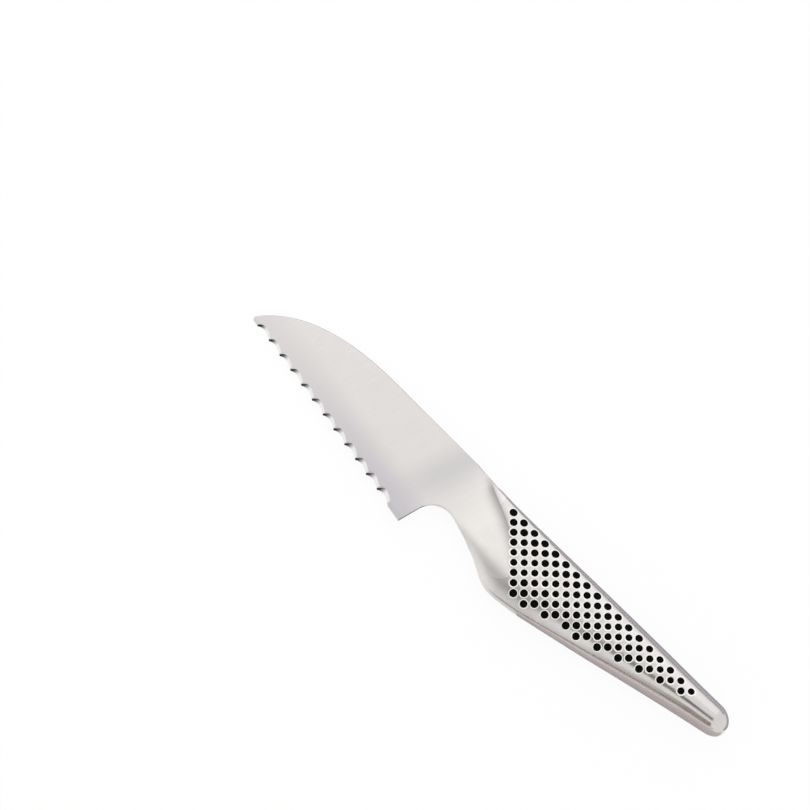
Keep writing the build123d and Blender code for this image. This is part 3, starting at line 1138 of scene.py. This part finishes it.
def tipHalf(x):
    # half the height of the round tip
    return np.sqrt(np.maximum(tipRadius**2 - (x - tipMiddle[0]) ** 2, 0))


def bladeHigh(x):
    noseHigh = np.interp(x, nose[::-1, 0], nose[::-1, 1])
    top = np.array(neck["top"])
    onBlade = blade["spineHeight"] + blade["spineRise"] * x
    straight = np.where(x > 0, np.interp(x, top[:, 0], top[:, 1]), onBlade)
    fromTip = np.where(x < blade["tipArc"][0][0], tipMiddle[1] + tipHalf(x), noseHigh)
    return np.where(x < blade["spineBend"], fromTip, straight)


def bladeLow(x):
    low = np.where(x < blade["tipArc"][2][0], tipMiddle[1] - tipHalf(x), blade["edgeLevel"])
    low = np.where(x > 0, blade["edgeLevel"] + heelRise * x / heelRun, low)
    return np.where(x > heelRun, bellyHeight(x), low)


bevelSin = math.sin(math.radians(blade["bevelAngle"]))
bevelCos = math.cos(math.radians(blade["bevelAngle"]))


def grindHeight(x, y):
    # the ground side: the plain bevel, and wheels that stand askew, so that each scallop
    # starts with a steep hook at its tip side
    height = -faceHeight(-blade["length"] / 2, blade["edgeLevel"])
    height = height + (y - blade["edgeLevel"]) * bevelSin / bevelCos + 0 * x
    skew = math.radians(blade["wheelSkew"])
    skewSin, skewCos = math.sin(skew), math.cos(skew)
    axis = (-skewSin * bevelCos, skewCos * bevelCos, bevelSin)
    away = (skewSin * bevelSin, -skewCos * bevelSin, bevelCos)
    radius = blade["wheelRadius"]
    for number in range(blade["scallops"]):
        place = blade["firstScallop"] - number * blade["scallopPitch"]
        low = -faceHeight(place, blade["scallopRise"])
        acrossX = x - (place + blade["wheelShift"][0] + away[0] * radius)
        acrossY = y - (blade["scallopRise"] + blade["wheelShift"][1] + away[1] * radius)
        along = acrossX * axis[0] + acrossY * axis[1]
        square = 1 - axis[2] ** 2
        rest = acrossX**2 + acrossY**2 - along**2 - radius**2
        under = (along * axis[2]) ** 2 - square * rest
        wheel = low + away[2] * radius + (along * axis[2] - np.sqrt(np.maximum(under, 0))) / square
        height = np.where(under > 0, np.minimum(height, wheel), height)
    return height


def crossing(x, level, near, far):
    # where the ground surface rises through a level on every line across the blade
    return halved(near + 0 * x, far + 0 * x, lambda y: grindHeight(x, y) <= level(x, y))


def choilShade(x, y):
    # painted shade: the front of the choil shows as a dark line, strongest at the heel
    centreX, centreY = neck["choilCentre"]
    slanted = heelRun * (y - blade["edgeLevel"]) / heelRise
    arc = centreX - np.sqrt(np.maximum(neck["choilRadius"] ** 2 - (y - centreY) ** 2, 0))
    front = np.where(y < centreY, slanted, arc)
    near = np.clip(1 - (front - x) / bladeShade["choilWidth"], 0, 1)
    return bladeShade["choil"] * near * np.clip(1 - y / bladeShade["choilTop"], 0, 1)


def scallopShade(x, y, cut):
    # painted shade of the hook and painted highlight of the scallop, where the wheels have cut
    step = (x - blade["firstScallop"]) / blade["scallopPitch"]
    inRow = -blade["scallops"] + 0.5 < step < 0.5
    step = step - math.floor(step + 0.5)
    hook = smoothStep(np.clip((bladeShade["hookEnd"] - step) / bladeShade["hookFade"], 0, 1))
    atCusp, rise = bladeShade["hookRise"]
    risen = blade["edgeLevel"] + atCusp + rise * (step + 0.5) * blade["scallopPitch"]
    scallop = cut * inRow * np.clip((risen - y) / bladeShade["hookRiseFade"], 0, 1)
    return hook * scallop, scallop


def bladeLines():
    # places of the lines across the blade: close at the tip, the cusps, the heel and the choil
    numbers = np.arange(-1, blade["scallops"] + 1)
    cusps = blade["firstScallop"] - (numbers + 0.5) * blade["scallopPitch"]
    least, firstShare, tipSpan = (bladeMesh[title] for title in ("least", "firstShare", "tipSpan"))
    tip = firstLine + tipSpan * (1 - np.cos(np.linspace(firstShare, np.pi / 2, bladeMesh["tipLines"])))
    even = np.arange(firstLine + tipSpan + bladeMesh["tipGap"], -least, bladeMesh["linePitch"])
    even = even[np.min(np.abs(even[:, None] - cusps), axis=1) > bladeMesh["cuspGap"]]
    heel = np.linspace(0.0, heelRun, bladeMesh["heelLines"])
    choilShares = np.linspace(firstShare, 1, bladeMesh["heelLines"]) ** 2
    choil = heelRun + (neck["bladeEnd"] - heelRun) * choilShares
    lines = np.unique(np.concatenate([tip, even, cusps, [-least / 4], heel, choil]))
    return lines[(lines > firstLine) & (lines <= neck["bladeEnd"])]


def makeBlade():
    lines = bladeLines()
    low, high = bladeLow(lines), bladeHigh(lines)
    least = bladeMesh["least"]
    edge = crossing(lines, lambda x, y: -faceHeight(x, y), *bladeMesh["edgeSearch"])
    edge = np.minimum(np.maximum(low, edge), high - 1.5 * least)
    ground = crossing(lines, faceHeight, edge, edge + bladeMesh["bevelSearch"])
    ground = np.where(lines > 0, edge, ground)
    ground = np.clip(ground, edge + least, high - least)
    share = np.sin(np.linspace(0, np.pi / 2, bladeMesh["facePoints"] + 1))
    upper, lower, hooks, scallops = [], [], [], []
    for k, x in enumerate(lines):
        hookEnd = min(ground[k] + bladeMesh["hookReach"], (ground[k] + high[k]) / 2)
        y = np.concatenate([
            np.linspace(edge[k], ground[k], bladeMesh["groundPoints"], endpoint=False),
            np.linspace(ground[k], hookEnd, bladeMesh["hookPoints"], endpoint=False),
            hookEnd + (high[k] - hookEnd) * share,
        ])
        face = scoopHeight(x, y)
        near = np.clip(1 - (high[k] - y) / blade["spineRound"], 0, 1)
        face = face * np.sqrt(1 - near**2)
        top, cut = face, np.zeros_like(y)
        if x > 0:
            face = face - roundedOff(y - low[k], skin["edgeRound"])
            top = face
        else:
            wheels = grindHeight(np.full_like(y, x), y)
            cut = np.clip((face - wheels) / bladeShade["cutSoftness"], 0, 1)
            top = np.minimum(face, wheels)
        hook, scallop = scallopShade(x, y, cut)
        hooks.append(np.maximum(hook, choilShade(x, y)))
        scallops.append(scallop)
        line = np.full_like(y, x)
        upper.append(np.stack([line, y, np.maximum(top, blade["thinnest"] - face)], 1))
        lower.append(np.stack([line, y, -face], 1)[::-1])
    points = np.concatenate([upper, lower], 1)
    size = points.shape[:2]
    # painted shade on the hooks and the choil front, and painted highlight in the scallops, on the ground
    # side only
    tones = {
        title: np.concatenate([tone, np.zeros_like(tone)], 1)
        for title, tone in (("hook", hooks), ("scallop", scallops))
    }
    faces = tubeFaces(*size) + tubeEnds(*size)
    makePiece(
        "bladeSkin", points.reshape(-1, 3), faces, steelGround, "blade_steel", "blade",
        blade["sharpAngle"], tones,
    )
    print("blade made, lines and points:", *size)


makeBlade()

# The objects that a new Blender file starts with
for stray in list(bpy.data.objects):
    if stray.name in ("Cube", "Light", "Camera"):
        bpy.data.objects.remove(stray)

# Camera at the photograph's angle, from over the belly side: where it looks, in millimetres,
# its turn round the knife, its height and its roll in degrees, then its distance and the width
# of its frame there in metres
camera = {
    "middle": (-29.6, 23.85, 0.0),
    "turn": -61.96,
    "height": 72.0,
    "roll": 27.1,
    "distance": 6.0,
    "frameWidth": 0.2566,
    "sensorWidth": 36.0,
    "clip": (0.5, 60.0),
}
cameraData = bpy.data.cameras.new("photoCamera")
cameraObject = addObject("photoCamera", cameraData)
aim = (
    Matrix(turn.tolist())
    @ Matrix.Rotation(math.radians(camera["turn"] + 90), 3, "Z")
    @ Matrix.Rotation(math.radians(90 - camera["height"]), 3, "X")
    @ Matrix.Rotation(math.radians(camera["roll"]), 3, "Z")
)
place = Vector(layDown(camera["middle"])) + aim.col[2] * camera["distance"]
cameraObject.matrix_world = Matrix.Translation(place) @ aim.to_4x4()
cameraData.sensor_width = camera["sensorWidth"]
cameraData.lens = camera["sensorWidth"] * camera["distance"] / camera["frameWidth"]
cameraData.clip_start, cameraData.clip_end = camera["clip"]
bpy.context.scene.camera = cameraObject


def rectangle(halfWidth, halfHeight):
    return [
        (-halfWidth, -halfHeight, 0), (halfWidth, -halfHeight, 0),
        (halfWidth, halfHeight, 0), (-halfWidth, halfHeight, 0),
    ]


def addPlane(name, corners, material):
    plane = bpy.data.meshes.new(name)
    plane.from_pydata(corners, [], [(0, 1, 2, 3)])
    plane.materials.append(material)
    thing = addObject(name, plane)
    return thing


# Floor: white, and most of it lit from itself where the camera or the metal sees it
floorLook = {"reach": 20.0, "level": -0.0002, "colour": 0.93, "ownLight": 0.92}


def floorMaterial(look):
    material, tree, shader = newMaterial("floorWhite")
    shader.inputs["Base Color"].default_value = (look["colour"],) * 3 + (1,)
    shader.inputs["Roughness"].default_value = 1.0
    shader.inputs["Specular IOR Level"].default_value = 0.0
    ownLight = tree.nodes.new("ShaderNodeEmission")
    ownLight.inputs["Color"].default_value = (1, 1, 1, 1)
    ownLight.inputs["Strength"].default_value = 1.0
    rays = tree.nodes.new("ShaderNodeLightPath")
    seen = mathNode(tree, "MAXIMUM", rays.outputs["Is Camera Ray"], rays.outputs["Is Glossy Ray"])
    seen = mathNode(tree, "MAXIMUM", seen, rays.outputs["Is Transmission Ray"])
    blend = tree.nodes.new("ShaderNodeMixShader")
    tree.links.new(mathNode(tree, "MULTIPLY", seen, look["ownLight"]), blend.inputs[0])
    tree.links.new(shader.outputs[0], blend.inputs[1])
    tree.links.new(ownLight.outputs[0], blend.inputs[2])
    tree.links.new(blend.outputs[0], tree.nodes["Material Output"].inputs["Surface"])
    return material


floor = addPlane("floor", rectangle(floorLook["reach"], floorLook["reach"]), floorMaterial(floorLook))
floor.location.z = floorLook["level"]

# Studio light: a pale surround, soft boxes, and dark flags that only the metal sees.
# A direction is an angle over from straight up towards the belly side and a lean towards the
# butt; each box or flag spans some degrees of both. Distances are in metres.
studio = {
    "surround": 1.0,
    "middle": (60, 30, 5),
    "boxDistance": 1.4,
    "flagDistance": 1.12,
    "flagRoughness": 0.9,
    "boxes": [
        {"name": "spineBox", "over": (-60, -24), "lean": (-24, 7), "radiance": 0.30},
        {"name": "neckBox", "over": (-24, -6), "lean": (-22, -10), "radiance": 0.12},
    ],
    "flags": [
        {"name": "lineFlag", "over": (3, 20), "lean": (-0.5, 14), "tone": (0.17, 0.16, 0.15)},
        {"name": "lineStart", "over": (2, 20), "lean": (-4.5, -0.5), "tone": (0.33, 0.32, 0.30)},
        {"name": "softFlag", "over": (-7, 15), "lean": (-10, -4.5), "tone": (0.50, 0.48, 0.46)},
        {"name": "wedgeFlag", "over": (42, 71), "lean": (4.6, 18), "tone": (0.23, 0.17, 0.13)},
        {"name": "horizonFlag", "over": (71, 77), "lean": (-9, 18), "tone": (0.19, 0.14, 0.11)},
        {"name": "spineWall", "over": (-92, -70), "lean": (-30, 30), "tone": (0.465, 0.44, 0.49)},
        {"name": "bellyWall", "over": (77, 92), "lean": (-20, 32), "tone": (0.72, 0.665, 0.665)},
    ],
    # strips on the floor beside the knife, which only the metal sees: painted shade of the floor in its
    # reflections. From and to station, from and to across
    "strips": [
        {"name": "heelStrip", "along": (-1, 6), "across": (-14, -3), "tone": (0.04, 0.04, 0.04)},
        {"name": "bellyStrip", "along": (48, 150), "across": (-90, -4), "tone": (0.66, 0.605, 0.615)},
        {"name": "spineStrip", "along": (-75, 150), "across": (2, 110), "tone": (0.49, 0.465, 0.52)},
    ],
    "stripLevel": 0.0001,
}
handleAlong = turn @ np.array([axisX, axisY, 0])
handleAcross = turn @ np.array([axisY, -axisX, 0])
straightUp = turn @ np.array([0, 0, 1])
handleMiddle = Vector(layDown(studio["middle"]))


def studioPlace(over, lean, distance):
    # a place and a turn that faces the handle
    over, lean = math.radians(over), math.radians(lean)
    level = math.sin(over) * handleAcross + math.cos(over) * straightUp
    direction = Vector(math.cos(lean) * level + math.sin(lean) * handleAlong)
    across = Vector(handleAlong) - direction * direction.dot(Vector(handleAlong))
    across.normalize()
    up = direction.cross(across)
    matrix = Matrix([across, up, direction]).transposed().to_4x4()
    matrix.translation = handleMiddle + direction * distance
    return matrix


def studioSize(item, distance):
    # middle of the span, and half the width and height that fill it
    over, lean = item["over"], item["lean"]
    middle = (sum(over) / 2, sum(lean) / 2)
    halfWidth = distance * math.tan(math.radians(lean[1] - lean[0]) / 2)
    halfHeight = distance * math.tan(math.radians(over[1] - over[0]) / 2)
    return middle, halfWidth, halfHeight * math.cos(math.radians(middle[1]))


def addFlag(item, corners):
    material, _, shader = newMaterial(item["name"])
    shader.inputs["Base Color"].default_value = (*item["tone"], 1)
    shader.inputs["Roughness"].default_value = studio["flagRoughness"]
    flag = addPlane(item["name"], corners, material)
    flag.visible_camera = False
    flag.visible_diffuse = False
    flag.visible_shadow = False
    return flag


for box in studio["boxes"]:
    middle, halfWidth, halfHeight = studioSize(box, studio["boxDistance"])
    lamp = bpy.data.lights.new(box["name"], "AREA")
    lamp.shape = "RECTANGLE"
    lamp.size = 2 * halfWidth
    lamp.size_y = 2 * halfHeight
    lamp.energy = box["radiance"] * math.pi * lamp.size * lamp.size_y
    lampObject = addObject(box["name"], lamp)
    lampObject.matrix_world = studioPlace(*middle, studio["boxDistance"])
    lampObject.visible_camera = False

for item in studio["flags"]:
    middle, *halves = studioSize(item, studio["flagDistance"])
    flag = addFlag(item, rectangle(*halves))
    flag.matrix_world = studioPlace(*middle, studio["flagDistance"])

for item in studio["strips"]:
    corners = []
    for station, across in zip(np.repeat(item["along"], 2), item["across"] + item["across"][::-1]):
        x, y = planPoint(station, across)
        corners.append((*layDown((x, y, 0))[:2], studio["stripLevel"]))
    addFlag(item, corners)
print("floor and studio made")

world = bpy.data.worlds.new("studio")
world.use_nodes = True
bpy.context.scene.world = world
background = world.node_tree.nodes["Background"]
background.inputs["Color"].default_value = (1, 1, 1, 1)
background.inputs["Strength"].default_value = studio["surround"]
bpy.context.scene.view_settings.view_transform = "Standard"
